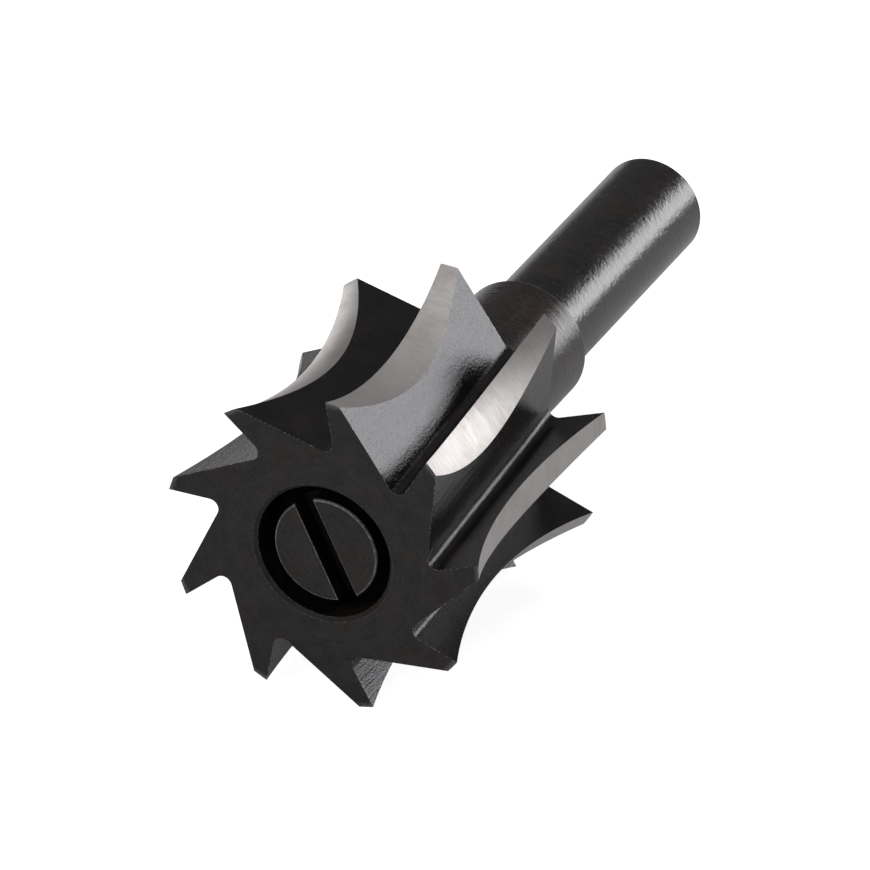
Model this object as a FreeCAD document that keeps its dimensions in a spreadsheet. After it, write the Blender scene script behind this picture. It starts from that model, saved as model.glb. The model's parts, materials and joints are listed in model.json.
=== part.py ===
"""Radius router bit: a nine-tooth cutter head with a concave profile, screwed on a plain-shank arbor.

Both pieces are modelled about their own axis, local +Z running from the front face to the shank, and are
then laid down together as the bit lies on a bench: on the land of one tooth and the rear tip of the next,
with the shank clear of the surface. In that frame +Z is up and the shank points along +Y.
"""
import FreeCAD, Part
import Sketcher
import math
import os

V = FreeCAD.Vector

# every size of the bit, in millimetres, degrees or a count
SIZES = (
    ("tooth_count", 9, "teeth round the head"),
    ("tip_diameter", 38.9, "circle through the front tips"),
    ("head_length", 35.1, "front face to rear face of the teeth"),
    ("concave_radius", 47.3, "radius that the teeth are ground to"),
    ("hook_angle", 10.6, "rake of each tooth face from the radial line"),
    ("flute_angle", 65.3, "angle between a tooth face and the long flank ahead of it"),
    ("gullet_radius", 1.1, "fillet in the bottom of each flute"),
    ("land_width", 1.6, "ground land behind each front tip"),
    ("relief_angle", 4.5, "fall of the ground land behind its cutting edge"),
    ("grinding_stock", 0.3, "stock on the turned blank for grinding the lands"),
    ("skew_angle", 2.95, "lean of the flutes across the axis"),
    ("flute_taper", 1.2, "deepening of the flutes towards the rear"),
    ("counterbore_diameter", 16.4, "recess round the arbor's end"),
    ("counterbore_depth", 6.0, "depth of that recess"),
    ("counterbore_chamfer", 0.45, "chamfer on the mouth of that recess"),
    ("spigot_diameter", 12.7, "threaded front of the arbor, over its crests"),
    ("spigot_chamfer", 0.15, "small chamfer on the arbor's slotted end"),
    ("thread_clearance", 0.1, "diametral play of the spigot in the head's bore"),
    ("undercut_length", 1.6, "thread relief in front of the collar"),
    ("undercut_depth", 0.9, "radial depth of that relief"),
    ("spigot_setback", 0.8, "the arbor's end lies this far behind the front face"),
    ("slot_width", 2.5, "screwdriver slot across the arbor's end"),
    ("slot_depth", 2.6, "depth of that slot"),
    ("slot_angle", -7.2, "turn of the slot from the tooth that carries the bit"),
    ("collar_diameter", 15.8, "shoulder that the head is drawn up against"),
    ("collar_length", 20.1, "length of the collar"),
    ("collar_chamfer", 0.5, "chamfer on the collar's rear edge"),
    ("shank_diameter", 12.7, "plain round shank"),
    ("shank_length", 37.4, "shank behind the collar, chamfer included"),
    ("shank_chamfer", 0.9, "chamfer on the shank's end"),
)

# a cutting tool runs this far out past the stock
RUN_OUT = 4.0

# the grinding of one land sweeps this share of a pitch, so that it ends in the flutes on both sides
LAND_SWEEP = 1.4


class Term:
    """A size, or a sum or product of sizes: its present value and its expression in the sheet."""

    def __init__(self, value, text):
        self.value = value
        self.text = text

    @staticmethod
    def of(other):
        return other if isinstance(other, Term) else Term(float(other), repr(float(other)))

    def combine(self, other, sign, value):
        return Term(value, "(%s %s %s)" % (self.text, sign, other.text))

    def __add__(self, other):
        other = Term.of(other)
        return self.combine(other, "+", self.value + other.value)

    def __sub__(self, other):
        other = Term.of(other)
        return self.combine(other, "-", self.value - other.value)

    def __rsub__(self, other):
        return Term.of(other) - self

    def __mul__(self, other):
        other = Term.of(other)
        return self.combine(other, "*", self.value * other.value)

    def __truediv__(self, other):
        other = Term.of(other)
        return self.combine(other, "/", self.value / other.value)

    def __rtruediv__(self, other):
        return Term.of(other) / self

    def trig(self, name):
        function = getattr(math, name)
        return Term(function(math.radians(self.value)), "%s(%s * 1 deg)" % (name, self.text))


class Sizes:
    """The sheet's aliases as terms, with the few lengths that several features share."""

    def __init__(self):
        for alias, value, note in SIZES:
            setattr(self, alias, Term(float(value), "Sizes." + alias))
        self.zero = Term.of(0)
        self.pitch = 360 / self.tooth_count
        self.tip_radius = self.tip_diameter / 2
        self.spigot_radius = self.spigot_diameter / 2
        self.collar_radius = self.collar_diameter / 2
        self.shank_radius = self.shank_diameter / 2
        self.bore_radius = (self.spigot_diameter + self.thread_clearance) / 2
        self.counterbore_radius = self.counterbore_diameter / 2
        self.collar_end = self.head_length + self.collar_length
        self.shank_end = self.collar_end + self.shank_length
        # the lands are ground about an axis set over from the head's own
        self.relief_axis_x = self.tip_radius * (1 - self.relief_angle.trig("cos"))
        self.relief_axis_y = self.tip_radius * self.relief_angle.trig("sin")
        # the flute runs from front to rear along this slanting line, in the frame of its tooth
        self.flute_fall = self.head_length * self.flute_taper.trig("tan")
        self.flute_drift = self.head_length * self.skew_angle.trig("tan")
        # the long flank's fall from the radial line of its own tooth
        self.flank_angle = self.flute_angle + self.hook_angle - self.pitch


def make_sheet(doc):
    """Write the sizes to a spreadsheet, one alias each."""
    sheet = doc.addObject("Spreadsheet::Sheet", "Sizes")
    for row, (alias, value, note) in enumerate(SIZES, start=1):
        sheet.set("A%d" % row, alias)
        sheet.set("B%d" % row, str(value))
        sheet.set("C%d" % row, note)
        sheet.setAlias("B%d" % row, alias)
    doc.recompute()


def datum(body, role):
    """The body's own origin plane or axis with this role."""
    return next(f for f in body.Origin.OriginFeatures if f.Role == role)


def new_sketch(body, name, role):
    """A sketch on one of the body's origin planes."""
    sketch = body.newObject("Sketcher::SketchObject", name)
    sketch.AttachmentSupport = [(datum(body, role), "")]
    sketch.MapMode = "FlatFace"
    return sketch


def bind(sketch, constraint, name, term):
    """Add a named dimension and bind it to the sheet."""
    index = sketch.addConstraint(constraint)
    sketch.renameConstraint(index, name)
    sketch.setExpression("Constraints." + name, term.text)


def pin(sketch, geometry, end, name, point):
    """Fix one end of a curve at two terms; zero puts it on the sketch's own axis."""
    for term, axis, kind in ((point[0], -2, "DistanceX"), (point[1], -1, "DistanceY")):
        if term.value == 0:
            sketch.addConstraint(Sketcher.Constraint("PointOnObject", geometry, end, axis))
        else:
            bind(sketch, Sketcher.Constraint(kind, -1, 1, geometry, end, term.value), name + kind[-1], term)


def segment(start, end):
    """A straight sketch line between two points given as terms."""
    return Part.LineSegment(V(start[0].value, start[1].value, 0), V(end[0].value, end[1].value, 0))


def closed_outline(sketch, corners):
    """A closed outline of straight lines through corners given as (name, x, y)."""
    last = len(corners) - 1
    for i, corner in enumerate(corners):
        sketch.addGeometry(segment(corner[1:], corners[0 if i == last else i + 1][1:]))
    for i, corner in enumerate(corners):
        sketch.addConstraint(Sketcher.Constraint("Coincident", last if i == 0 else i - 1, 2, i, 1))
        pin(sketch, i, 1, corner[0], corner[1:])


def concave_strip(sketch, s, arc_x, side_x):
    """The strip between the concave arc and a straight side, from the front face to the rear one."""
    half = s.head_length.value / 2
    radius = s.concave_radius.value
    lean = math.asin(half / radius)
    centre = V(arc_x.value + radius * math.cos(lean), half, 0)
    circle = Part.Circle(centre, V(0, 0, 1), radius)
    arc = sketch.addGeometry(Part.ArcOfCircle(circle, math.pi - lean, math.pi + lean))
    rear = sketch.addGeometry(segment((arc_x, s.head_length), (side_x, s.head_length)))
    side = sketch.addGeometry(segment((side_x, s.head_length), (side_x, s.zero)))
    front = sketch.addGeometry(segment((side_x, s.zero), (arc_x, s.zero)))
    for first, first_end, second, second_end in ((arc, 1, rear, 1), (rear, 2, side, 1), (side, 2, front, 1),
                                                 (arc, 2, front, 2)):
        sketch.addConstraint(Sketcher.Constraint("Coincident", first, first_end, second, second_end))
    pin(sketch, front, 2, "tip_front", (arc_x, s.zero))
    pin(sketch, rear, 1, "tip_rear", (arc_x, s.head_length))
    pin(sketch, side, 2, "side_front", (side_x, s.zero))
    pin(sketch, side, 1, "side_rear", (side_x, s.head_length))
    bind(sketch, Sketcher.Constraint("Radius", arc, radius), "concave", s.concave_radius)


def turn(body, kind, sketch, axis="V_Axis"):
    """Revolve a sketch a full turn, as a Revolution that adds or a Groove that removes."""
    feature = body.newObject("PartDesign::" + kind, kind + "_of_" + sketch.Name)
    feature.Profile = sketch
    feature.ReferenceAxis = (sketch, [axis])
    feature.Angle = 360.0
    return feature


def cut_flute(body, s):
    """One flute: the tooth's face, the gullet fillet and the long flank of the tooth ahead of it.

    The tooth's front tip is on local +X. Its face leans in by the hook angle. The flank belongs to
    the next tooth round, so it is set out from that tooth's land and turned back by one pitch.
    """
    sketch = new_sketch(body, "flute_section", "XY_Plane")
    hook, pitch = s.hook_angle, s.pitch
    reach = Term.of(RUN_OUT)
    face_x = s.tip_radius + reach * hook.trig("cos")
    face_y = s.zero - reach * hook.trig("sin")
    # outer end of the flank in its own tooth's frame, then turned back by one pitch
    own_x = s.tip_radius + reach * s.flank_angle.trig("cos")
    own_y = s.land_width - reach * s.flank_angle.trig("sin")
    flank_x = own_x * pitch.trig("cos") + own_y * pitch.trig("sin")
    flank_y = own_y * pitch.trig("cos") - own_x * pitch.trig("sin")
    # the sharp corner where face and flank would meet, for the first drawing only
    face_dir = V(-hook.trig("cos").value, hook.trig("sin").value, 0)
    flank_turn = s.flank_angle + pitch
    flank_dir = V(-flank_turn.trig("cos").value, flank_turn.trig("sin").value, 0)
    face_end = V(face_x.value, face_y.value, 0)
    flank_end = V(flank_x.value, flank_y.value, 0)
    cross = face_dir.x * flank_dir.y - face_dir.y * flank_dir.x
    offset = flank_end - face_end
    corner = face_end + face_dir * ((offset.x * flank_dir.y - offset.y * flank_dir.x) / cross)
    opening = math.radians(s.flute_angle.value)
    tangent_length = s.gullet_radius.value / math.tan(opening / 2)
    face_tangent = corner - face_dir * tangent_length
    flank_tangent = corner - flank_dir * tangent_length
    middle = (face_dir + flank_dir).normalize()
    centre = corner - middle * (s.gullet_radius.value / math.sin(opening / 2))
    bottom = centre + middle * s.gullet_radius.value
    face = sketch.addGeometry(Part.LineSegment(face_end, face_tangent))
    gullet = sketch.addGeometry(Part.Arc(face_tangent, bottom, flank_tangent))
    flank = sketch.addGeometry(Part.LineSegment(flank_tangent, flank_end))
    mouth = sketch.addGeometry(Part.LineSegment(flank_end, face_end))
    arc_start = sketch.getPoint(gullet, 1)
    at_face = 1 if arc_start.distanceToPoint(face_tangent) < arc_start.distanceToPoint(flank_tangent) else 2
    sketch.addConstraint(Sketcher.Constraint("Tangent", face, 2, gullet, at_face))
    sketch.addConstraint(Sketcher.Constraint("Tangent", flank, 1, gullet, 3 - at_face))
    sketch.addConstraint(Sketcher.Constraint("Coincident", flank, 2, mouth, 1))
    sketch.addConstraint(Sketcher.Constraint("Coincident", mouth, 2, face, 1))
    pin(sketch, face, 1, "face", (face_x, face_y))
    pin(sketch, flank, 2, "flank", (flank_x, flank_y))
    bind(sketch, Sketcher.Constraint("Angle", face, math.atan2(face_dir.y, face_dir.x)), "hook",
         180 - hook)
    bind(sketch, Sketcher.Constraint("Angle", flank, math.atan2(-flank_dir.y, -flank_dir.x)), "flank_turn",
         s.zero - flank_turn)
    bind(sketch, Sketcher.Constraint("Radius", gullet, s.gullet_radius.value), "gullet", s.gullet_radius)
    flute = body.newObject("PartDesign::Pocket", "flute")
    flute.Profile = sketch
    flute.UseCustomVector = True
    flute.AlongSketchNormal = True
    for axis, term in (("x", s.zero - s.flute_fall), ("y", s.zero - s.flute_drift), ("z", s.head_length)):
        flute.setExpression("Direction." + axis, term.text)
    flute.setExpression("Length", (s.head_length + reach).text)
    return flute


def relieve_land(body, s):
    """Grind one land off centre, so that it falls away behind its cutting edge."""
    sketch = new_sketch(body, "land_section", "XZ_Plane")
    sketch.setExpression("AttachmentOffset.Base.z", s.relief_axis_y.text)
    ground_x = s.relief_axis_x + s.tip_radius
    concave_strip(sketch, s, ground_x, ground_x + RUN_OUT)
    # the grinding axis is parallel to the head's own and set over from it
    foot = (s.relief_axis_x, s.zero)
    top = (s.relief_axis_x, s.head_length)
    axis = sketch.addGeometry(segment(foot, top), True)
    pin(sketch, axis, 1, "axis_foot", foot)
    pin(sketch, axis, 2, "axis_top", top)
    groove = turn(body, "Groove", sketch, "Axis0")
    groove.Midplane = True
    groove.setExpression("Angle", (s.pitch * LAND_SWEEP).text)
    return groove


def bore_head(body, s):
    """The bore for the arbor's thread, with a wider recess at the front."""
    sketch = new_sketch(body, "bore_section", "XZ_Plane")
    closed_outline(sketch, (
        ("front_centre", s.zero, s.zero),
        ("recess_edge", s.counterbore_radius + s.counterbore_chamfer, s.zero),
        ("recess_rim", s.counterbore_radius, s.counterbore_chamfer),
        ("recess_floor", s.counterbore_radius, s.counterbore_depth),
        ("bore_front", s.bore_radius, s.counterbore_depth),
        ("bore_rear", s.bore_radius, s.head_length),
        ("rear_centre", s.zero, s.head_length),
    ))
    return turn(body, "Groove", sketch)


def make_cutter_head(doc, s):
    """The toothed head: a concave blank, fluted, relieved and bored."""
    body = doc.addObject("PartDesign::Body", "cutter_head")
    blank = new_sketch(body, "blank_section", "XZ_Plane")
    concave_strip(blank, s, s.tip_radius + s.grinding_stock, s.zero)
    turn(body, "Revolution", blank)
    flute = cut_flute(body, s)
    relief = relieve_land(body, s)
    teeth = body.newObject("PartDesign::PolarPattern", "teeth")
    teeth.Originals = [flute, relief]
    teeth.Axis = (datum(body, "Z_Axis"), [""])
    teeth.Angle = 360
    teeth.setExpression("Occurrences", s.tooth_count.text)
    body.Tip = teeth
    doc.recompute()
    bore_head(body, s)
    return body


def make_arbor(doc, s):
    """The arbor: threaded spigot with a slotted end, collar and plain shank, turned from one bar."""
    body = doc.addObject("PartDesign::Body", "arbor")
    section = new_sketch(body, "turned_section", "XZ_Plane")
    undercut_front = s.head_length - s.undercut_length
    undercut_radius = s.spigot_radius - s.undercut_depth
    closed_outline(section, (
        ("end_centre", s.zero, s.spigot_setback),
        ("end_edge", s.spigot_radius - s.spigot_chamfer, s.spigot_setback),
        ("end_rim", s.spigot_radius, s.spigot_setback + s.spigot_chamfer),
        ("thread_end", s.spigot_radius, undercut_front),
        ("undercut_front", undercut_radius, undercut_front),
        ("undercut_rear", undercut_radius, s.head_length),
        ("seat_rim", s.collar_radius, s.head_length),
        ("collar_rim", s.collar_radius, s.collar_end - s.collar_chamfer),
        ("collar_edge", s.collar_radius - s.collar_chamfer, s.collar_end),
        ("shank_root", s.shank_radius, s.collar_end),
        ("shank_rim", s.shank_radius, s.shank_end - s.shank_chamfer),
        ("shank_edge", s.shank_radius - s.shank_chamfer, s.shank_end),
        ("shank_centre", s.zero, s.shank_end),
    ))
    turn(body, "Revolution", section)
    slot = new_sketch(body, "slot_section", "XY_Plane")
    side = s.slot_width / 2
    end = s.spigot_radius + RUN_OUT
    closed_outline(slot, (
        ("near_left", s.zero - end, s.zero - side),
        ("near_right", end, s.zero - side),
        ("far_right", end, side),
        ("far_left", s.zero - end, side),
    ))
    pocket = body.newObject("PartDesign::Pocket", "screwdriver_slot")
    pocket.Profile = slot
    pocket.Reversed = True
    pocket.setExpression("Length", (s.spigot_setback + s.slot_depth).text)
    return body


def on_ground_land(s, point, direction):
    """Where a line of a tooth's section crosses the circle that its land is ground to."""
    offset = point - V(s.relief_axis_x.value, -s.relief_axis_y.value, 0)
    along = offset.dot(direction)
    outward = -along + math.sqrt(along ** 2 - offset.dot(offset) + s.tip_radius.value ** 2)
    return point + direction * outward


def resting_rotation(s):
    """The turn that lays the bit on one tooth's land and the rear tip of the tooth beside it.

    The land bears at both ends of its heel, because the profile is hollow between them.
    """
    hook = math.radians(s.hook_angle.value)
    flank = math.radians(s.flank_angle.value)
    next_tooth = FreeCAD.Rotation(V(0, 0, 1), s.pitch.value)
    drift = V(-s.flute_fall.value, -s.flute_drift.value, 0)
    to_rear = V(0, 0, s.head_length.value)
    tip = V(s.tip_radius.value, 0, 0)
    heel = V(s.tip_radius.value, s.land_width.value, 0)
    flank_outward = V(math.cos(flank), -math.sin(flank), 0)
    face_outward = V(math.cos(hook), -math.sin(hook), 0)
    front_heel = on_ground_land(s, heel, flank_outward)
    rear_heel = on_ground_land(s, heel + next_tooth.multVec(drift), flank_outward) + to_rear
    rear_tip = next_tooth.multVec(on_ground_land(s, tip + drift, face_outward)) + to_rear
    up = (rear_heel - front_heel).cross(rear_tip - front_heel).normalize()
    if up.dot(front_heel) > 0:
        up = up * -1
    shank_way = (V(0, 0, 1) - up * up.z).normalize()
    return FreeCAD.Rotation(shank_way.cross(up), shank_way, up, "ZYX").inverted()


def lay_down(doc, s, head, arbor):
    """Lay both pieces on the surface, with the origin under the middle of the bit's box."""
    rest = FreeCAD.Placement(V(0, 0, 0), resting_rotation(s))
    slot_turn = FreeCAD.Placement(V(0, 0, 0), FreeCAD.Rotation(V(0, 0, 1), s.slot_angle.value))
    head.Placement = rest
    arbor.Placement = rest * slot_turn
    doc.recompute()
    box = Part.makeCompound([head.Shape, arbor.Shape]).optimalBoundingBox(False, False)
    shift = V(-(box.XMin + box.XMax) / 2, -(box.YMin + box.YMax) / 2, -box.ZMin)
    for body in (head, arbor):
        body.Placement.Base = body.Placement.Base + shift
    doc.recompute()


def check_model(doc, bodies):
    """Stop if any feature failed or a piece is not one valid solid."""
    failed = [o.Name for o in doc.Objects if "Invalid" in o.State or "Error" in o.State]
    if failed:
        raise RuntimeError("failed features: " + ", ".join(failed))
    for body in bodies:
        shape = body.Shape
        if shape.isNull() or not shape.isValid() or len(shape.Solids) != 1:
            raise RuntimeError(body.Label + " is not one valid solid")


def main():
    doc = FreeCAD.newDocument("radius_router_bit")
    s = Sizes()
    make_sheet(doc)
    head = make_cutter_head(doc, s)
    arbor = make_arbor(doc, s)
    doc.recompute()
    lay_down(doc, s, head, arbor)
    bodies = (head, arbor)
    check_model(doc, bodies)
    os.makedirs("parts", exist_ok=True)
    for body in bodies:
        body.Shape.exportStep("parts/%s.step" % body.Label)
        print("%s %.1f mm3" % (body.Label, body.Shape.Volume))


main()
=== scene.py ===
"""Radius router bit: finished model of the blackened cutter head and its arbor, lying on a pale surface.

Both pieces are modelled about their own axis in millimetres, +Z from the front face to the shank, and are
then laid where the frame holds the bit. The head is a hollow-ground blank cut by nine skewed flutes.
"""
from __future__ import annotations

import json
import logging
import math
from dataclasses import dataclass
from enum import Enum
from typing import Callable, Mapping, Sequence

import bpy
from mathutils import Matrix, Vector

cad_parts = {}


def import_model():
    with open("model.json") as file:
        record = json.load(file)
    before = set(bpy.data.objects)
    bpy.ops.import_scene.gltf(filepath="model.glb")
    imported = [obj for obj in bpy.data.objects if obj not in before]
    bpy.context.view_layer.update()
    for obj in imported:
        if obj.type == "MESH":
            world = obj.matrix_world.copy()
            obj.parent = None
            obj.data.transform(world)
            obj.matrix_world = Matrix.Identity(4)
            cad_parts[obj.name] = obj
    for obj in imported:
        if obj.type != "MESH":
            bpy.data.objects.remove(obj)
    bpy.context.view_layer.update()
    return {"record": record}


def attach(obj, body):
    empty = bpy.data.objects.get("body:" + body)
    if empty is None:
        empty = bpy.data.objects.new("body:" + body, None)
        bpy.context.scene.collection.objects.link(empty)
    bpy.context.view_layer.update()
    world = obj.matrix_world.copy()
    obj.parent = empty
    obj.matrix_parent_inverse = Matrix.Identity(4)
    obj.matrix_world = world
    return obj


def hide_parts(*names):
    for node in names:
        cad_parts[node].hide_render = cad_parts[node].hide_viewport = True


LOG = logging.getLogger("router_bit")
MILLIMETRE = 0.001
ROOT_BODY = "root"
# two vertices closer than this, in millimetres, are one
WELD = 0.002
# faces that meet at more than this many degrees meet in an edge
SHARP = 28.0
# flat facets across the rounding of an edge
EDGE_SEGMENTS = 2
# a face whose centre is this near to a corner of a section, in millimetres, is on that corner
FACE_MARGIN = 0.075
# depth in metres of a bump whose height is 1
BUMP_STEP = 0.00001


class Surface(Enum):
    """The finishes of the bit, in the order of every piece's material slots."""

    FACE = 0
    LAND = 1
    FLUTE = 2
    EDGE = 3
    # painted shade: the same black oxide, made darker and duller inside the recess, bore and slot
    BORE = 4
    COLLAR = 5
    SHANK = 6


# Operators on the piece in hand


def deselect_all() -> None:
    """Leave object mode with nothing selected."""
    if bpy.context.object and bpy.context.object.mode != "OBJECT":
        bpy.ops.object.mode_set(mode="OBJECT")
    bpy.ops.object.select_all(action="DESELECT")


def activate(piece: bpy.types.Object) -> None:
    """Select one piece and make it the active one."""
    deselect_all()
    piece.select_set(True)
    bpy.context.view_layer.objects.active = piece


def drawn_path(name: str, points: Sequence[Vector]) -> bpy.types.Object:
    """Draw a line through points by extruding one vertex.

    Args:
        name: name of the new piece.
        points: the corners of the line, in order.

    Returns:
        The piece, still in edit mode with the last vertex selected.
    """
    deselect_all()
    bpy.ops.mesh.primitive_plane_add(location=points[0])
    piece = bpy.context.object
    piece.name = name
    bpy.ops.object.mode_set(mode="EDIT")
    bpy.ops.mesh.select_all(action="SELECT")
    bpy.ops.mesh.merge(type="CENTER")
    for start, end in zip(points, points[1:]):
        bpy.ops.mesh.extrude_region_move(TRANSFORM_OT_translate={"value": end - start})
    bpy.ops.object.mode_set(mode="OBJECT")
    bpy.ops.object.transform_apply(location=True, rotation=True, scale=True)
    bpy.ops.object.mode_set(mode="EDIT")
    return piece


def weld() -> None:
    """Merge the vertices of the piece in edit mode that lie on one another."""
    bpy.ops.mesh.select_all(action="SELECT")
    bpy.ops.mesh.remove_doubles(threshold=WELD)


def face_outwards() -> None:
    """Point every face of the piece in edit mode outwards, and leave edit mode."""
    bpy.ops.mesh.select_all(action="SELECT")
    bpy.ops.mesh.normals_make_consistent(inside=False)
    bpy.ops.object.mode_set(mode="OBJECT")


def turned(name: str, section: Sequence[Vector], steps: int) -> bpy.types.Object:
    """Turn a section about the local Z axis.

    Args:
        name: name of the new piece.
        section: the outline in the XZ plane. It starts and ends on the axis, or closes on itself.
        steps: how many facets go round.

    Returns:
        The turned piece, closed and with its faces pointing outwards.
    """
    piece = drawn_path(name, section)
    bpy.ops.mesh.select_all(action="SELECT")
    bpy.ops.mesh.spin(steps=steps, angle=math.tau, center=(0, 0, 0), axis=(0, 0, 1))
    weld()
    face_outwards()
    return piece


def paint(piece: bpy.types.Object, finishes: Sequence[bpy.types.Material],
          choose: Callable[[bpy.types.MeshPolygon], Surface]) -> None:
    """Give a piece every finish, and each of its faces the one that choose names."""
    for finish in finishes:
        piece.data.materials.append(finish)
    for polygon in piece.data.polygons:
        polygon.material_index = choose(polygon).value


def cut_away(piece: bpy.types.Object, cutter: bpy.types.Object) -> None:
    """Subtract the cutter from the piece and delete the cutter."""
    activate(piece)
    boolean = piece.modifiers.new("cut", "BOOLEAN")
    boolean.operation = "DIFFERENCE"
    boolean.solver = "EXACT"
    boolean.material_mode = "INDEX"
    boolean.object = cutter
    bpy.ops.object.modifier_apply(modifier=boolean.name)
    bpy.data.objects.remove(cutter)


def smooth(piece: bpy.types.Object) -> None:
    """Merge stray corners and shade the piece smooth, but for its edges."""
    activate(piece)
    bpy.ops.object.mode_set(mode="EDIT")
    weld()
    bpy.ops.object.mode_set(mode="OBJECT")
    bpy.ops.object.shade_smooth_by_angle(angle=math.radians(SHARP))


def break_edges(piece: bpy.types.Object, width: float) -> None:
    """Round every sharp edge by a hair's width, as handling and use leave it.

    Args:
        piece: the piece, in millimetres.
        width: width of the rounding in millimetres.
    """
    smooth(piece)
    bevel = piece.modifiers.new("edge", "BEVEL")
    bevel.width = width
    bevel.segments = EDGE_SEGMENTS
    bevel.limit_method = "ANGLE"
    bevel.angle_limit = math.radians(SHARP)
    bevel.use_clamp_overlap = False
    bevel.harden_normals = True
    # the rounding's faces take the edge finish: worn oxide and a painted highlight
    bevel.material = Surface.EDGE.value
    bpy.ops.object.modifier_apply(modifier=bevel.name)


@dataclass(frozen=True)
class RestPose:
    """Where the bit lies: its front centre, and the turn that the frame's shank mount gives its axis.

    The carrying tooth's turn is how far round from straight down the front tip of that tooth stands.
    """

    mount: Mapping
    mount_station: float
    carrying_tooth_turn: float = 16.599

    def matrix(self) -> Matrix:
        """The move from the bit's own millimetres to the frame's metres."""
        along = Vector(self.mount["axis"]).normalized()
        down = Vector((0, 0, -1))
        down = (down - along * down.dot(along)).normalized()
        side = down.cross(along)
        if side.x < 0:
            side.negate()
        turn = math.radians(self.carrying_tooth_turn)
        local_x = down * math.cos(turn) + side * math.sin(turn)
        local_y = along.cross(local_x)
        front = Vector(self.mount["pos_m"]) - along * self.mount_station * MILLIMETRE
        rotation = Matrix((local_x, local_y, along)).transposed().to_4x4()
        return Matrix.Translation(front) @ rotation @ Matrix.Scale(MILLIMETRE, 4)

    def lay(self, piece: bpy.types.Object) -> None:
        """Move a finished piece to its place, with that place in its mesh."""
        piece.data.transform(self.matrix())
        piece.data.update()


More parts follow.
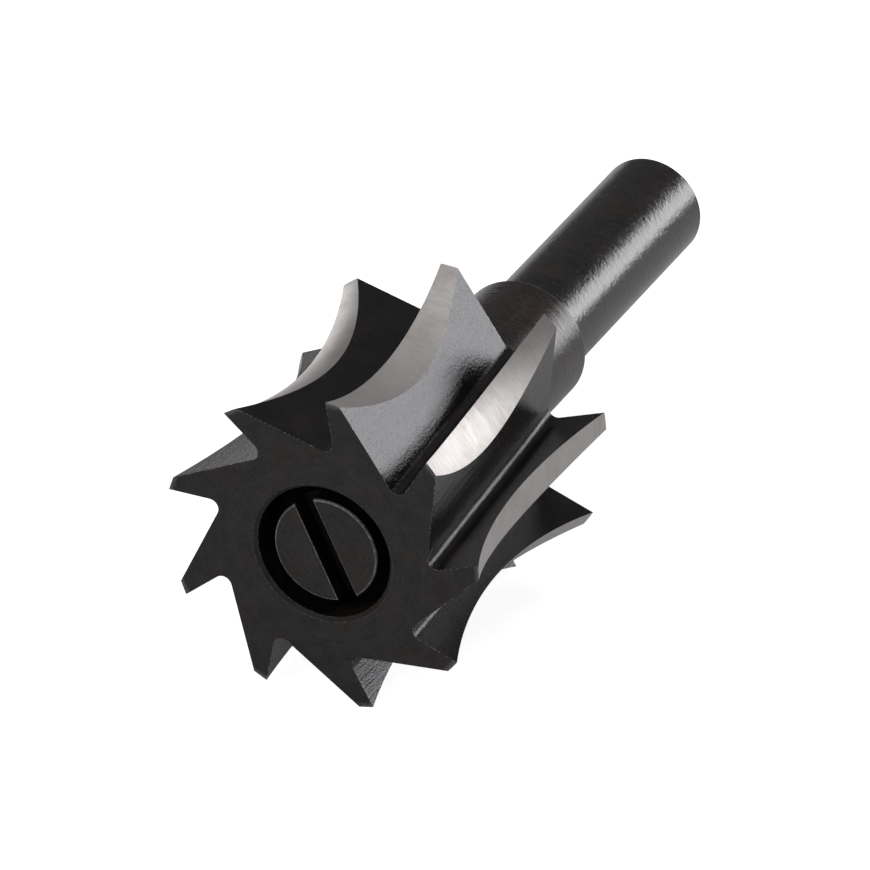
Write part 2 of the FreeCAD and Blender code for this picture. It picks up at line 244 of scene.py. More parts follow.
@dataclass(frozen=True)
class CutterHead:
    """The toothed head, in millimetres and degrees.

    Each tooth has a hooked face, a ground land that falls away behind the edge, and a long flank that runs
    down to the next tooth's gullet. Its share of the blank starts at sector_start round from its front tip,
    and the flutes' cutter runs out past the blank by run_out.
    """

    tooth_count: int = 9
    tip_radius: float = 19.45
    length: float = 35.1
    concave_radius: float = 47.3
    hook: float = 10.6
    flute_angle: float = 65.3
    gullet_radius: float = 1.1
    land_width: float = 1.6
    relief: float = 4.5
    skew: float = 2.95
    flute_taper: float = 1.2
    bore_radius: float = 6.4
    recess_radius: float = 8.2
    recess_depth: float = 6.0
    recess_chamfer: float = 0.45
    run_out: float = 2.5
    arc_steps: int = 44
    turn_steps: int = 540
    gullet_steps: int = 8
    flute_steps: int = 24
    sector_start: float = -14.0

    @property
    def pitch(self) -> float:
        """Angle from one tooth to the next, in degrees."""
        return 360.0 / self.tooth_count

    @property
    def recess_rim(self) -> float:
        """Radius just outside the chamfer of the front recess."""
        return self.recess_radius + self.recess_chamfer + FACE_MARGIN

    @property
    def drift(self) -> Vector:
        """How far a flute moves across the axis from the front face to the rear one."""
        fall = self.length * math.tan(math.radians(self.flute_taper))
        lean = self.length * math.tan(math.radians(self.skew))
        return Vector((-fall, -lean, self.length))

    def arc_radius(self, station: float) -> float:
        """Radius of the hollow profile at a distance from the front face."""
        half = self.length / 2
        sweep = math.sqrt(self.concave_radius ** 2 - half ** 2)
        return self.tip_radius + sweep - math.sqrt(self.concave_radius ** 2 - (station - half) ** 2)

    def ground_radius(self, radius: float, angle: float) -> float:
        """Radius of the relieved land where the turned blank has another.

        Args:
            radius: the blank's radius there.
            angle: angle round from the front tip of the land's own tooth, in radians.

        Returns:
            The distance from the axis to the land, which is ground about an axis set over from it.
        """
        relief = math.radians(self.relief)
        centre = Vector((self.tip_radius * (1 - math.cos(relief)), -self.tip_radius * math.sin(relief)))
        way = Vector((math.cos(angle), math.sin(angle)))
        along = centre.dot(way)
        return along + math.sqrt(along ** 2 - centre.length_squared + radius ** 2)

    def blank(self) -> bpy.types.Object:
        """Turn the bored blank with its hollow outside, and relieve it land by land."""
        stations = [self.length * i / self.arc_steps for i in range(self.arc_steps + 1)]
        section = [Vector((self.bore_radius, 0, self.length)),
                   Vector((self.bore_radius, 0, self.recess_depth)),
                   Vector((self.recess_radius, 0, self.recess_depth)),
                   Vector((self.recess_radius, 0, self.recess_chamfer)),
                   Vector((self.recess_radius + self.recess_chamfer, 0, 0))]
        section += [Vector((self.arc_radius(z), 0, z)) for z in stations]
        section.append(section[0].copy())
        blank = turned("cutter_head_finished", section, self.turn_steps)
        start = math.radians(self.sector_start)
        pitch = math.radians(self.pitch)
        for vertex in blank.data.vertices:
            radius = math.hypot(vertex.co.x, vertex.co.y)
            if radius > self.recess_rim:
                angle = (math.atan2(vertex.co.y, vertex.co.x) - start) % pitch + start
                scale = self.ground_radius(radius, angle) / radius
                vertex.co.x *= scale
                vertex.co.y *= scale
        return blank

    def flute_outline(self) -> list[Vector]:
        """Section of one flute at the front face: tooth face, gullet and the long flank ahead of it."""
        hook = math.radians(self.hook)
        pitch = math.radians(self.pitch)
        flank = math.radians(self.flute_angle) + hook
        own = flank - pitch
        face_in = Vector((-math.cos(hook), math.sin(hook), 0))
        flank_in = Vector((-math.cos(flank), math.sin(flank), 0))
        face_end = Vector((self.tip_radius, 0, 0)) - face_in * self.run_out
        own_end = Vector((self.tip_radius + self.run_out * math.cos(own),
                          self.land_width - self.run_out * math.sin(own), 0))
        # the flank is the back of the tooth ahead, whose heel is one pitch round from this tooth's own
        flank_end = Matrix.Rotation(-pitch, 3, "Z") @ own_end
        span = flank_end - face_end
        cross = face_in.x * flank_in.y - face_in.y * flank_in.x
        corner = face_end + face_in * ((span.x * flank_in.y - span.y * flank_in.x) / cross)
        half = math.radians(self.flute_angle) / 2
        middle = (face_in + flank_in).normalized()
        centre = corner - middle * (self.gullet_radius / math.sin(half))
        sweep = math.pi / 2 - half
        gullet = [centre + Matrix.Rotation(sweep * (1 - 2 * i / self.gullet_steps), 3, "Z") @ middle
                  * self.gullet_radius for i in range(self.gullet_steps + 1)]
        if (gullet[0] - face_end).length > (gullet[-1] - face_end).length:
            gullet.reverse()
        return [face_end, *gullet, flank_end, face_end]

    def flute_cutter(self) -> bpy.types.Object:
        """A solid of the shape of all the flutes, longer than the head at both ends."""
        past = self.run_out / self.length
        outline = [point - self.drift * past for point in self.flute_outline()]
        cutter = drawn_path("flutes", outline)
        weld()
        bpy.ops.mesh.select_all(action="SELECT")
        bpy.ops.mesh.edge_face_add()
        reach = self.drift * (1 + 2 * past)
        for _ in range(self.flute_steps):
            bpy.ops.mesh.extrude_region_move(TRANSFORM_OT_translate={"value": reach / self.flute_steps})
        bpy.ops.mesh.select_all(action="SELECT")
        bpy.ops.mesh.spin(steps=self.tooth_count - 1, dupli=True, center=(0, 0, 0), axis=(0, 0, 1),
                          angle=math.radians(self.pitch * (self.tooth_count - 1)))
        face_outwards()
        return cutter

    def surface_of(self, polygon: bpy.types.MeshPolygon) -> Surface:
        """The finish of one face of the turned blank."""
        radius = math.hypot(polygon.center.x, polygon.center.y)
        # faces inside the recess and the bore get painted shade
        if radius < self.recess_radius + FACE_MARGIN:
            return Surface.BORE
        if radius < self.recess_rim or abs(polygon.normal.z) > math.cos(math.radians(SHARP)):
            return Surface.FACE
        return Surface.LAND

    def build(self, finishes: Sequence[bpy.types.Material]) -> bpy.types.Object:
        """Cut the teeth and dress every surface. The cutting edges stay sharp.

        Args:
            finishes: one material for each Surface, in its order.

        Returns:
            The finished head, still about its own axis.
        """
        head = self.blank()
        cutter = self.flute_cutter()
        paint(head, finishes, self.surface_of)
        paint(cutter, finishes, lambda polygon: Surface.FLUTE)
        cut_away(head, cutter)
        smooth(head)
        return head


@dataclass(frozen=True)
class Arbor:
    """The arbor in millimetres and degrees: spigot with its slotted end, collar and plain shank.

    The slot's cutter passes the spigot by slot_overrun on each side.
    """

    seat: float = 35.1
    setback: float = 0.8
    spigot_radius: float = 6.35
    edge_break: float = 0.15
    undercut_length: float = 1.6
    undercut_depth: float = 0.9
    collar_radius: float = 7.9
    collar_length: float = 20.1
    collar_chamfer: float = 0.5
    shank_radius: float = 6.35
    shank_length: float = 37.4
    shank_chamfer: float = 0.9
    slot_width: float = 2.5
    slot_depth: float = 2.6
    slot_turn: float = -7.2
    slot_overrun: float = 3.175
    turn_steps: int = 192
    edge_width: float = 0.09

    @property
    def collar_end(self) -> float:
        """Distance from the front face to the rear edge of the collar."""
        return self.seat + self.collar_length

    @property
    def shank_middle(self) -> float:
        """Distance from the front face to the middle of the shank's parallel length."""
        return self.collar_end + (self.shank_length - self.shank_chamfer) / 2

    @property
    def neck(self) -> float:
        """Distance from the front face to the undercut before the collar."""
        return self.seat - self.undercut_length

    @property
    def shaded_span(self) -> tuple[float, float]:
        """The stations between which the arbor sits inside the head and its slot: unrubbed there, and given
        painted shade.
        """
        return self.setback + self.edge_break + 2 * self.edge_width, self.neck

    def section(self) -> list[Vector]:
        """Outline of the turned bar, from the slotted end to the end of the shank."""
        undercut = self.spigot_radius - self.undercut_depth
        end = self.collar_end + self.shank_length
        corners = (
            (0.0, self.setback),
            (self.spigot_radius - self.edge_break, self.setback),
            (self.spigot_radius, self.setback + self.edge_break),
            (self.spigot_radius, self.neck),
            (undercut, self.neck),
            (undercut, self.seat),
            (self.collar_radius, self.seat),
            (self.collar_radius, self.collar_end - self.collar_chamfer),
            (self.collar_radius - self.collar_chamfer, self.collar_end),
            (self.shank_radius, self.collar_end),
            (self.shank_radius, end - self.shank_chamfer),
            (self.shank_radius - self.shank_chamfer, end),
            (0.0, end),
        )
        return [Vector((radius, 0, station)) for radius, station in corners]

    def slot_cutter(self) -> bpy.types.Object:
        """A block of the shape of the screwdriver slot, open past the end of the arbor."""
        deselect_all()
        floor = self.setback + self.slot_depth
        bpy.ops.mesh.primitive_cube_add(size=1.0, location=(0, 0, floor / 2 - self.setback))
        cutter = bpy.context.object
        cutter.name = "slot"
        reach = self.spigot_radius + self.slot_overrun
        cutter.scale = (2 * reach, self.slot_width, floor + 2 * self.setback)
        cutter.rotation_euler = (0, 0, math.radians(self.slot_turn))
        bpy.ops.object.transform_apply(location=True, rotation=True, scale=True)
        return cutter

    def surface_of(self, polygon: bpy.types.MeshPolygon) -> Surface:
        """The finish of one face of the turned bar."""
        station = polygon.center.z
        if station > self.collar_end - FACE_MARGIN:
            return Surface.SHANK
        if station > self.neck:
            return Surface.COLLAR
        # the spigot behind its front face gets painted shade
        return Surface.FACE if station < self.setback + self.edge_break else Surface.BORE

    def build(self, finishes: Sequence[bpy.types.Material]) -> bpy.types.Object:
        """Turn the bar, cut the slot, dress every surface and round the edges.

        Args:
            finishes: one material for each Surface, in its order.

        Returns:
            The finished arbor, still about its own axis.
        """
        arbor = turned("arbor_finished", self.section(), self.turn_steps)
        cutter = self.slot_cutter()
        paint(arbor, finishes, self.surface_of)
        # the slot's walls and floor get painted shade
        paint(cutter, finishes, lambda polygon: Surface.BORE)
        cut_away(arbor, cutter)
        break_edges(arbor, self.edge_width)
        # the spigot inside the head and the slot gets painted shade, and no wear
        front, rear = self.shaded_span
        for polygon in arbor.data.polygons:
            if front < polygon.center.z < rear:
                polygon.material_index = Surface.BORE.value
        return arbor


# Shader nodes

Socket = bpy.types.NodeSocket
Value = float | Socket
Colour = tuple[float, float, float]


@dataclass(frozen=True)
class Noise:
    """One noise texture: its features per unit of length, its octaves and how rough they are."""

    scale: float
    detail: float
    roughness: float


class Graph:
    """Adds nodes to one tree, with constants or other nodes' sockets as their inputs."""

    def __init__(self, tree: bpy.types.NodeTree) -> None:
        """Start on an existing tree."""
        self.tree = tree

    def set(self, socket: Socket, value: object) -> None:
        """Link a socket to another one, or give it a constant."""
        if isinstance(value, Socket):
            self.tree.links.new(value, socket)
        else:
            socket.default_value = value

    def node(self, kind: str, inputs: Mapping | None = None, **settings: object) -> bpy.types.Node:
        """Add one node.

        Args:
            kind: the node's type, without the ShaderNode that starts every such name.
            inputs: values or sockets by the input's name or number.
            **settings: the node's own properties.

        Returns:
            The new node.
        """
        node = self.tree.nodes.new("ShaderNode" + kind)
        for name, value in settings.items():
            setattr(node, name, value)
        for name, value in (inputs or {}).items():
            self.set(node.inputs[name], value)
        return node

    def math(self, operation: str, *values: Value) -> Socket:
        """Add a Math node and return what it puts out."""
        return self.node("Math", dict(enumerate(values)), operation=operation).outputs[0]

    def weighted(self, *parts: tuple[Value, float]) -> Socket:
        """Add values up, each times its own weight."""
        shares = [self.math("MULTIPLY", value, weight) for value, weight in parts]
        total = shares[0]
        for share in shares[1:]:
            total = self.math("ADD", total, share)
        return total

    def noise(self, vector: Socket, kind: Noise, across: Socket | None = None) -> Socket:
        """Add a noise texture over a vector, and over a fourth way across it if there is one."""
        inputs = {"Vector": vector, "Scale": kind.scale, "Detail": kind.detail, "Roughness": kind.roughness}
        if across is None:
            return self.node("TexNoise", inputs).outputs["Fac"]
        return self.node("TexNoise", inputs | {"W": across}, noise_dimensions="4D").outputs["Fac"]

    def scaled(self, vector: Socket, factor: Value) -> Socket:
        """Multiply a vector by one number."""
        return self.node("VectorMath", {0: vector, 3: factor}, operation="SCALE").outputs[0]

    def spread(self, value: Value, low: Value, high: Value, to_low: Value = 0.0,
               to_high: Value = 1.0) -> Socket:
        """Stretch the range from low to high over another range, and clamp it there."""
        inputs = {"Value": value, "From Min": low, "From Max": high, "To Min": to_low, "To Max": to_high}
        return self.node("MapRange", inputs).outputs["Result"]

    def blend(self, factor: Value, first: Socket | Colour, second: Socket | Colour) -> Socket:
        """Mix two colours and return the result."""
        mix = self.node("Mix", data_type="RGBA")
        self.set(mix.inputs[0], factor)
        for socket, value in ((mix.inputs[6], first), (mix.inputs[7], second)):
            self.set(socket, value if isinstance(value, Socket) else (*value, 1))
        return mix.outputs[2]

    def raise_surface(self, shader: bpy.types.Node, height: Socket) -> None:
        """Give the shader a bump, of which a height of 1 is one bump step."""
        bump = self.node("Bump", {"Height": height, "Distance": BUMP_STEP, "Strength": 1.0})
        self.set(shader.inputs["Normal"], bump.outputs[0])


def new_group(name: str, inputs: Mapping[str, float | None],
              outputs: Sequence[str]) -> tuple[Graph, bpy.types.Node, bpy.types.Node]:
    """Start a shader node group.

    Args:
        name: name of the group.
        inputs: the default of each input by name, or None for a vector.
        outputs: the names of the outputs, each a number.

    Returns:
        The group's graph, its input node and its output node.
    """
    tree = bpy.data.node_groups.new(name, "ShaderNodeTree")
    for label, default in inputs.items():
        kind = "NodeSocketVector" if default is None else "NodeSocketFloat"
        socket = tree.interface.new_socket(label, in_out="INPUT", socket_type=kind)
        if default is not None:
            socket.default_value = default
    for label in outputs:
        tree.interface.new_socket(label, in_out="OUTPUT", socket_type="NodeSocketFloat")
    return Graph(tree), tree.nodes.new("NodeGroupInput"), tree.nodes.new("NodeGroupOutput")


def bit_axes() -> bpy.types.NodeTree:
    """Build the group that tells how far along the bit's axis a point lies, and how far out from it."""
    graph, source, target = new_group("bit_axes", {"Own": None}, ("Along", "Out"))
    parts = graph.node("SeparateXYZ", {0: source.outputs["Own"]})
    squares = [graph.math("MULTIPLY", part, part) for part in parts.outputs[:2]]
    graph.set(target.inputs["Along"], parts.outputs[2])
    graph.set(target.inputs["Out"], graph.math("SQRT", graph.math("ADD", *squares)))
    return graph.tree


@dataclass(frozen=True)
class ToolLines:
    """Fine parallel tool marks: close across the marks, drawn out along them."""

    fine: Noise = Noise(1.0, 2.0, 0.7)
    coarse: Noise = Noise(0.23, 1.0, 0.5)
    fine_share: float = 0.8
    grey_range: tuple[float, float] = (0.35, 0.65)

    def tree(self) -> bpy.types.NodeTree:
        """Build the node group."""
        graph, source, target = new_group(
            "tool_lines", {"Own": None, "Across": 0.0, "Per mm": 8.0, "Stretch": 0.06}, ("Height", "Mask"))
        across = graph.math("MULTIPLY", source.outputs["Across"], source.outputs["Per mm"])
        slow = graph.math("MULTIPLY", source.outputs["Per mm"], source.outputs["Stretch"])
        place = graph.scaled(source.outputs["Own"], slow)
        height = graph.weighted((graph.noise(place, self.fine, across), self.fine_share),
                                (graph.noise(place, self.coarse, across), 1 - self.fine_share))
        graph.set(target.inputs["Height"], height)
        graph.set(target.inputs["Mask"], graph.spread(height, *self.grey_range))
        return graph.tree


@dataclass(frozen=True)
class OxideGrain:
    """The mottle and stains of a blackened surface, its fine tooth and its light specks in patches."""

    mottle: Noise = Noise(0.35, 5.0, 0.7)
    mottle_range: tuple[float, float] = (0.3, 0.7)
    stain: Noise = Noise(0.19, 3.0, 0.6)
    stain_range: tuple[float, float] = (0.5, 0.68)
    tooth: Noise = Noise(1.0, 3.0, 0.65)
    speck: Noise = Noise(3.1, 2.0, 0.6)
    speck_cut: tuple[float, float] = (0.86, 0.5)
    speck_fade: float = 0.05
    patch: Noise = Noise(0.45, 2.0, 0.5)
    patch_range: tuple[float, float] = (0.4, 0.7)
    patch_rise: float = 0.1

    def tree(self) -> bpy.types.NodeTree:
        """Build the node group."""
        graph, source, target = new_group(
            "oxide_grain", {"Own": None, "Tooth per mm": 7.0, "Speck amount": 0.5},
            ("Mottle", "Stain", "Tooth", "Speck"))
        own = source.outputs["Own"]
        tooth = graph.noise(graph.scaled(own, source.outputs["Tooth per mm"]), self.tooth)
        patch = graph.spread(graph.noise(own, self.patch), *self.patch_range, 0.0, self.patch_rise)
        fleck = graph.math("ADD", graph.noise(own, self.speck), patch)
        cut = graph.spread(source.outputs["Speck amount"], 0.0, 1.0, *self.speck_cut)
        graph.set(target.inputs["Mottle"], graph.spread(graph.noise(own, self.mottle), *self.mottle_range))
        graph.set(target.inputs["Stain"], graph.spread(graph.noise(own, self.stain), *self.stain_range))
        graph.set(target.inputs["Tooth"], tooth)
        graph.set(target.inputs["Speck"], graph.spread(fleck, cut, graph.math("ADD", cut, self.speck_fade)))
        return graph.tree


@dataclass(frozen=True)
class EdgeWearAndHighlight:
    """Lighter edges: partly lost blackening, partly a painted highlight; near the edge, broken up by noise.
    """

    reach: float = 0.12 * MILLIMETRE
    samples: int = 6
    lean_range: tuple[float, float] = (0.995, 0.8)
    chips: Noise = Noise(2.6, 3.0, 0.6)
    chip_cut: tuple[float, float] = (0.68, 0.4)
    chip_fade: float = 0.1

    def tree(self) -> bpy.types.NodeTree:
        """Build the node group."""
        graph, source, target = new_group("edge_wear_and_highlight", {"Own": None, "Amount": 0.5}, ("Mask",))
        rounded = graph.node("Bevel", {"Radius": self.reach}, samples=self.samples).outputs[0]
        plain = graph.node("NewGeometry").outputs["Normal"]
        lean = graph.node("VectorMath", {0: rounded, 1: plain}, operation="DOT_PRODUCT").outputs["Value"]
        cut = graph.spread(source.outputs["Amount"], 0.0, 1.0, *self.chip_cut)
        broken = graph.spread(graph.noise(source.outputs["Own"], self.chips), cut,
                              graph.math("ADD", cut, self.chip_fade))
        near = graph.spread(lean, *self.lean_range)
        graph.set(target.inputs["Mask"], graph.math("MULTIPLY", near, broken))
        return graph.tree


class Effects:
    """The node groups that the finishes share, built once."""

    def __init__(self, pose: Matrix) -> None:
        """Build every group.

        Args:
            pose: the move from the bit's own millimetres to the frame's metres.
        """
        self.to_own = pose.inverted()
        self.axes = bit_axes()
        self.lines = ToolLines().tree()
        self.grain = OxideGrain().tree()
        self.wear_and_highlight = EdgeWearAndHighlight().tree()

    def start(self, name: str) -> tuple[bpy.types.Material, Graph, bpy.types.Node, Socket, bpy.types.Node]:
        """Start a material that reads the bit's own coordinates.

        Args:
            name: name of the material.

        Returns:
            The material, its graph, its shader, the point in the bit's millimetres and the axes group.
        """
        material = bpy.data.materials.new(name)
        material.use_nodes = True
        graph = Graph(material.node_tree)
        shader = material.node_tree.nodes["Principled BSDF"]
        place = graph.node("TexCoord").outputs["Object"]
        own = graph.node("Mapping", {"Vector": place, "Location": self.to_own.to_translation(),
                                     "Rotation": self.to_own.to_euler("XYZ"),
                                     "Scale": self.to_own.to_scale()}).outputs[0]
        axes = self.place(graph, self.axes, {"Own": own})
        return material, graph, shader, own, axes

    @staticmethod
    def place(graph: Graph, tree: bpy.types.NodeTree, inputs: Mapping) -> bpy.types.Node:
        """Put one of the groups in a material and set its inputs."""
        node = graph.node("Group")
        node.node_tree = tree
        for name, value in inputs.items():
            graph.set(node.inputs[name], value)
        return node


@dataclass(frozen=True)
class Blackened:
    """Black oxide on steel, with the tool marks of the surface under it.

    Marks run round the axis. They are told apart by their distance along it, or out from it on a face. A
    surface with rubbed_past is rubbed brighter beyond that distance from the axis, in millimetres.
    """

    name: str
    dark: Colour = (0.012, 0.0115, 0.012)
    light: Colour = (0.03, 0.028, 0.028)
    stain: Colour = (0.034, 0.019, 0.017)
    # colour of worn edges, partly a painted highlight there, and of the specks and rubbed tips
    bare_and_highlight: Colour = (0.45, 0.44, 0.43)
    bare_and_highlight_metallic: float = 0.4
    mottle_share: float = 0.4
    marks_share: float = 0.25
    tooth_share: float = 0.35
    tooth_range: tuple[float, float] = (0.35, 0.65)
    stain_strength: float = 0.5
    roughness: float = 0.42
    uneven: float = 0.08
    specular: float = 0.5
    tint: Colour = (1.0, 1.0, 1.0)
    marks_across: str = "Along"
    marks_per_mm: float = 7.0
    marks_height: float = 0.5
    tooth_height: float = 0.4
    tooth_per_mm: float = 7.0
    speck: float = 0.1
    speck_strength: float = 0.3
    worn_and_highlit: float = 0.4
    rubbed_past: float | None = None
    rubbed_run: float = 0.7
    rubbed_strength: float = 0.6

    def material(self, effects: Effects) -> bpy.types.Material:
        """Build the material from the shared effects."""
        material, graph, shader, own, axes = effects.start(self.name)
        grain = effects.place(graph, effects.grain, {
            "Own": own, "Tooth per mm": self.tooth_per_mm, "Speck amount": self.speck}).outputs
        lines = effects.place(graph, effects.lines, {
            "Own": own, "Across": axes.outputs[self.marks_across], "Per mm": self.marks_per_mm}).outputs
        wear_and_highlight = effects.place(graph, effects.wear_and_highlight, {"Own": own, "Amount": self.worn_and_highlit}).outputs
        tooth = graph.spread(grain["Tooth"], *self.tooth_range)
        tone = graph.weighted((grain["Mottle"], self.mottle_share), (lines["Mask"], self.marks_share),
                              (tooth, self.tooth_share))
        colour = graph.blend(tone, self.dark, self.light)
        colour = graph.blend(graph.math("MULTIPLY", grain["Stain"], self.stain_strength), colour, self.stain)
        # lighter colour at edges is partly worn oxide and partly a painted highlight; specks and rubbed tips
        # are wear
        scuff_and_highlight = graph.math("MAXIMUM", wear_and_highlight["Mask"],
                           graph.math("MULTIPLY", grain["Speck"], self.speck_strength))
        if self.rubbed_past is not None:
            rub = graph.spread(axes.outputs["Out"], self.rubbed_past, self.rubbed_past + self.rubbed_run,
                               0.0, self.rubbed_strength)
            scuff_and_highlight = graph.math("MAXIMUM", scuff_and_highlight, graph.math("MULTIPLY", rub, tooth))
        graph.set(shader.inputs["Base Color"], graph.blend(scuff_and_highlight, colour, self.bare_and_highlight))
        graph.set(shader.inputs["Metallic"], graph.math("MULTIPLY", scuff_and_highlight, self.bare_and_highlight_metallic))
        rough = graph.spread(graph.math("ADD", grain["Mottle"], tooth), 0.0, 2.0,
                             self.roughness - self.uneven, self.roughness + self.uneven)
        graph.set(shader.inputs["Roughness"], rough)
        shader.inputs["Specular IOR Level"].default_value = self.specular
        shader.inputs["Specular Tint"].default_value = (*self.tint, 1)
        graph.raise_surface(shader, graph.weighted((lines["Height"], self.marks_height),
                                                   (grain["Tooth"], self.tooth_height)))
        return material


@dataclass(frozen=True)
class Ground:
    """Bright steel with the close cross lines of a grinding wheel, rougher where a line is dark."""

    name: str
    colour: Colour = (0.59, 0.565, 0.555)
    shade: Colour = (0.46, 0.44, 0.43)
    stain: Colour = (0.36, 0.31, 0.28)
    marks_share: float = 0.7
    stain_strength: float = 0.35
    roughness: float = 0.46
    dark_rougher: float = 0.08
    light_smoother: float = 0.04
    streak: float = 0.55
    streak_turn: float = 0.25
    marks_per_mm: float = 11.0
    marks_height: float = 0.7
    marks_stretch: float = 0.08

    def material(self, effects: Effects) -> bpy.types.Material:
        """Build the material from the shared effects."""
        material, graph, shader, own, axes = effects.start(self.name)
        lines = effects.place(graph, effects.lines, {
            "Own": own, "Across": axes.outputs["Along"], "Per mm": self.marks_per_mm,
            "Stretch": self.marks_stretch}).outputs
        grain = effects.place(graph, effects.grain, {"Own": own}).outputs
        tone = graph.weighted((lines["Mask"], self.marks_share), (grain["Mottle"], 1 - self.marks_share))
        colour = graph.blend(tone, self.shade, self.colour)
        colour = graph.blend(graph.math("MULTIPLY", grain["Stain"], self.stain_strength), colour, self.stain)
        graph.set(shader.inputs["Base Color"], colour)
        shader.inputs["Metallic"].default_value = 1.0
        shader.inputs["Anisotropic"].default_value = self.streak
        shader.inputs["Anisotropic Rotation"].default_value = self.streak_turn
        tangent = graph.node("Tangent", direction_type="RADIAL", axis="Y")
        graph.set(shader.inputs["Tangent"], tangent.outputs[0])
        rough = graph.spread(lines["Mask"], 0.0, 1.0, self.roughness + self.dark_rougher,
                             self.roughness - self.light_smoother)
        graph.set(shader.inputs["Roughness"], rough)
        graph.raise_surface(shader, graph.math("MULTIPLY", lines["Height"], self.marks_height))
        return material


def bit_finishes(effects: Effects) -> list[bpy.types.Material]:
    """One material for each Surface, in its order."""
    finishes = {
        Surface.FACE: Blackened("blackened_face", marks_across="Out", roughness=0.5, specular=0.22,
                                dark=(0.006, 0.0052, 0.0056), light=(0.056, 0.0515, 0.0515), worn_and_highlit=0.7,
                                marks_height=2.0, tooth_height=3.0, tooth_per_mm=4.5, speck=0.2,
                                rubbed_past=18.7),
        Surface.LAND: Ground("ground_land"),
        Surface.FLUTE: Blackened("blackened_flute", marks_across="Out", roughness=0.15, specular=0.44,
                                 marks_per_mm=2.2, marks_height=6.5, tooth_height=4.0, tooth_per_mm=3.6,
                                 uneven=0.07, worn_and_highlit=0.6, dark=(0.003, 0.0026, 0.0026),
                                 light=(0.014, 0.0135, 0.0155), tint=(0.94, 0.93, 1.0)),
        # edge faces: worn oxide with bare steel, partly a painted highlight along the rounding
        Surface.EDGE: Blackened("worn_and_highlit_edge", roughness=0.4, specular=0.5, speck=0.9, worn_and_highlit=1.0,
                                dark=(0.008, 0.007, 0.007), light=(0.24, 0.23, 0.225), tooth_per_mm=2.5),
        # painted shade: the recess, bore and slot are the face's oxide, painted darker, duller and unworn
        Surface.BORE: Blackened("recess_painted_shade", dark=(0.003, 0.003, 0.003), light=(0.006, 0.006, 0.006),
                                specular=0.08, roughness=0.6, worn_and_highlit=0.0, speck=0.0),
        Surface.COLLAR: Blackened("turned_collar", roughness=0.17, specular=0.66, marks_per_mm=4.0,
                                  marks_height=7.0, tooth_height=3.0, tooth_per_mm=4.0, uneven=0.1,
                                  dark=(0.006, 0.0045, 0.0045), light=(0.052, 0.038, 0.037), speck=0.3,
                                  stain=(0.06, 0.032, 0.03)),
        Surface.SHANK: Blackened("polished_shank", roughness=0.17, specular=0.8, marks_height=1.5,
                                 tooth_height=4.5, tooth_per_mm=1.6, dark=(0.004, 0.0034, 0.0036),
                                 light=(0.032, 0.028, 0.028), stain=(0.045, 0.022, 0.021), speck=0.3),
    }
    return [finishes[surface].material(effects) for surface in Surface]


# Studio


def way_out(azimuth: float, elevation: float) -> Vector:
    """The way from the middle out to an azimuth and an elevation in degrees.

    Azimuth 0 is on the front side of the bit, at -Y, and 90 is at +X.
    """
    azimuth = math.radians(azimuth)
    elevation = math.radians(elevation)
    level = math.cos(elevation)
    return Vector((math.sin(azimuth) * level, -math.cos(azimuth) * level, math.sin(elevation)))


@dataclass(frozen=True)
class Softbox:
    """One soft white lamp: where it stands, its distance and size in metres, and its watts."""

    name: str
    azimuth: float
    elevation: float
    distance: float
    width: float
    height: float
    watts: float

    def place(self, target: Vector) -> None:
        """Stand the lamp round the target and turn it that way."""
        way = way_out(self.azimuth, self.elevation)
        light = bpy.data.lights.new(self.name, "AREA")
        light.shape = "RECTANGLE"
        light.size = self.width
        light.size_y = self.height
        light.energy = self.watts
        lamp = bpy.data.objects.new(self.name, light)
        lamp.location = target + way * self.distance
        lamp.rotation_euler = (-way).to_track_quat("-Z", "Y").to_euler()
        lamp.visible_camera = False
        bpy.context.scene.collection.objects.link(lamp)


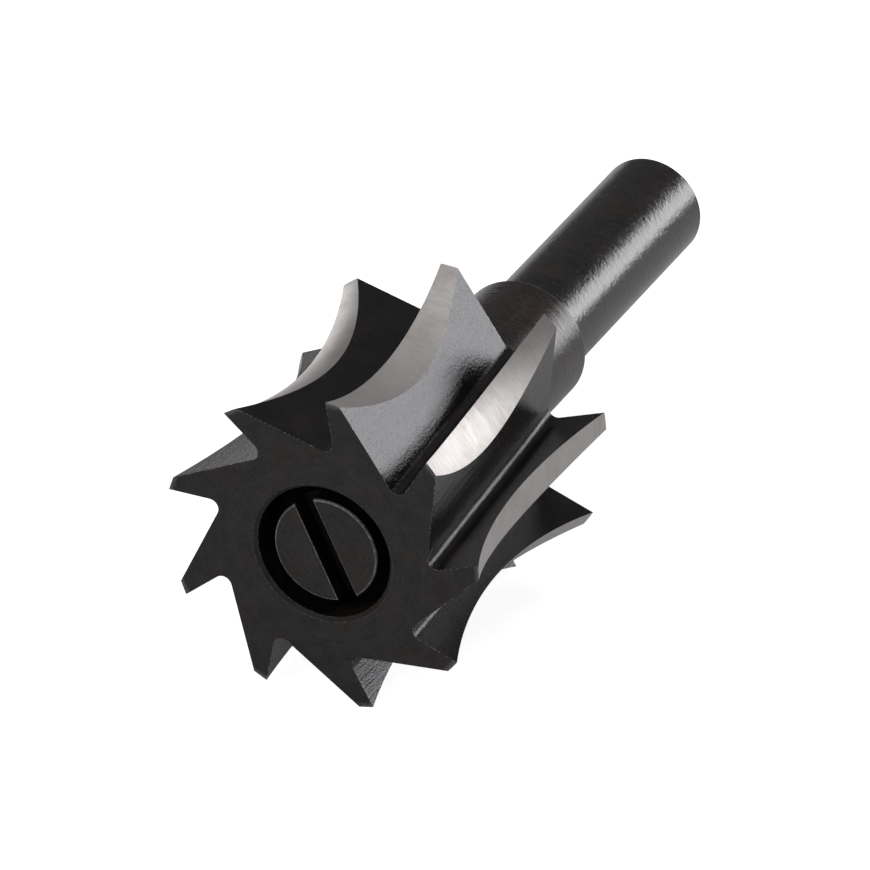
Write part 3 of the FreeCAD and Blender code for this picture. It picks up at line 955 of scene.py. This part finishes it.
@dataclass(frozen=True)
class Studio:
    """Pale floor, soft lamps, world light and the camera, in metres and degrees."""

    floor_size: float = 6.0
    floor_tone: float = 0.8
    floor_roughness: float = 0.9
    floor_specular: float = 0.1
    floor_glow: float = 0.85
    floor_mirrored: float = 0.16
    world_tone: float = 0.12
    eye_azimuth: float = 25.777
    eye_elevation: float = 28.426
    eye_roll: float = -2.331
    eye_distance: float = 1.3229
    aim: tuple[float, float, float] = (-0.0049324, -0.0056832, 0.012508)
    lens: float = 474.4
    nearest: float = 0.05
    farthest: float = 20.0
    lamp_target: tuple[float, float, float] = (0.0, 0.0, 0.02)
    lamps: tuple[Softbox, ...] = (
        Softbox("back_right", 148.0, 6.0, 1.3, 0.9, 0.62, 8.4),
        Softbox("back_left", -124.0, 5.0, 1.3, 0.4, 0.3, 2.1),
        Softbox("top_back", 178.0, 72.0, 1.2, 1.3, 0.7, 3.6),
        Softbox("front_fill", -12.0, 30.0, 1.3, 0.9, 0.7, 5.5),
    )

    def floor(self) -> None:
        """A wide pale floor: white to the eye but for the bit's shadow, and dim in reflections."""
        deselect_all()
        bpy.ops.mesh.primitive_plane_add(size=self.floor_size, location=(0, 0, 0))
        floor = bpy.context.object
        floor.name = "studio_floor"
        material = bpy.data.materials.new("pale_floor")
        material.use_nodes = True
        graph = Graph(material.node_tree)
        shader = material.node_tree.nodes["Principled BSDF"]
        tone = self.floor_tone
        shader.inputs["Base Color"].default_value = (tone, tone, tone, 1)
        shader.inputs["Roughness"].default_value = self.floor_roughness
        shader.inputs["Specular IOR Level"].default_value = self.floor_specular
        shader.inputs["Emission Color"].default_value = (1, 1, 1, 1)
        rays = graph.node("LightPath").outputs
        mirrored = graph.math("MAXIMUM", rays["Is Glossy Ray"], rays["Is Transmission Ray"])
        dimmed = graph.math("MULTIPLY", mirrored, self.floor_mirrored)
        seen = graph.math("MAXIMUM", rays["Is Camera Ray"], dimmed)
        graph.set(shader.inputs["Emission Strength"], graph.math("MULTIPLY", seen, self.floor_glow))
        floor.data.materials.append(material)

    def world(self) -> None:
        """An even surround: white to the eye, dim as a light and in reflections."""
        world = bpy.data.worlds.new("studio_world")
        world.use_nodes = True
        graph = Graph(world.node_tree)
        seen = graph.node("LightPath").outputs["Is Camera Ray"]
        background = world.node_tree.nodes["Background"]
        background.inputs["Color"].default_value = (1, 1, 1, 1)
        graph.set(background.inputs["Strength"], graph.math("MAXIMUM", seen, self.world_tone))
        bpy.context.scene.world = world

    def camera(self) -> None:
        """The camera at the photograph's viewing angle."""
        forward = -way_out(self.eye_azimuth, self.eye_elevation)
        data = bpy.data.cameras.new("camera")
        data.lens = self.lens
        data.clip_start = self.nearest
        data.clip_end = self.farthest
        camera = bpy.data.objects.new("camera", data)
        turn = forward.to_track_quat("-Z", "Y").to_matrix().to_4x4()
        roll = Matrix.Rotation(math.radians(self.eye_roll), 4, "Z")
        camera.matrix_world = Matrix.Translation(Vector(self.aim) - forward * self.eye_distance) @ turn @ roll
        bpy.context.scene.collection.objects.link(camera)
        bpy.context.scene.camera = camera

    def build(self) -> None:
        """Set up the floor, lamps, world and camera."""
        self.floor()
        for lamp in self.lamps:
            lamp.place(Vector(self.lamp_target))
        self.world()
        self.camera()
        bpy.context.scene.view_settings.view_transform = "Standard"


def main() -> None:
    """Load the frame, build and dress both pieces, and set up the studio."""
    logging.basicConfig(level=logging.INFO, format="%(name)s: %(message)s")
    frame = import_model()
    mount = next(m for m in frame["record"]["mounts"] if m["name"] == "shank")
    arbor = Arbor()
    pose = RestPose(mount, arbor.shank_middle)
    finishes = bit_finishes(Effects(pose.matrix()))
    for builder, node in ((CutterHead(), "cutter_head"), (arbor, "arbor")):
        piece = builder.build(finishes)
        pose.lay(piece)
        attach(piece, ROOT_BODY)
        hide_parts(node)
    Studio().build()


if __name__ == "__main__":
    main()
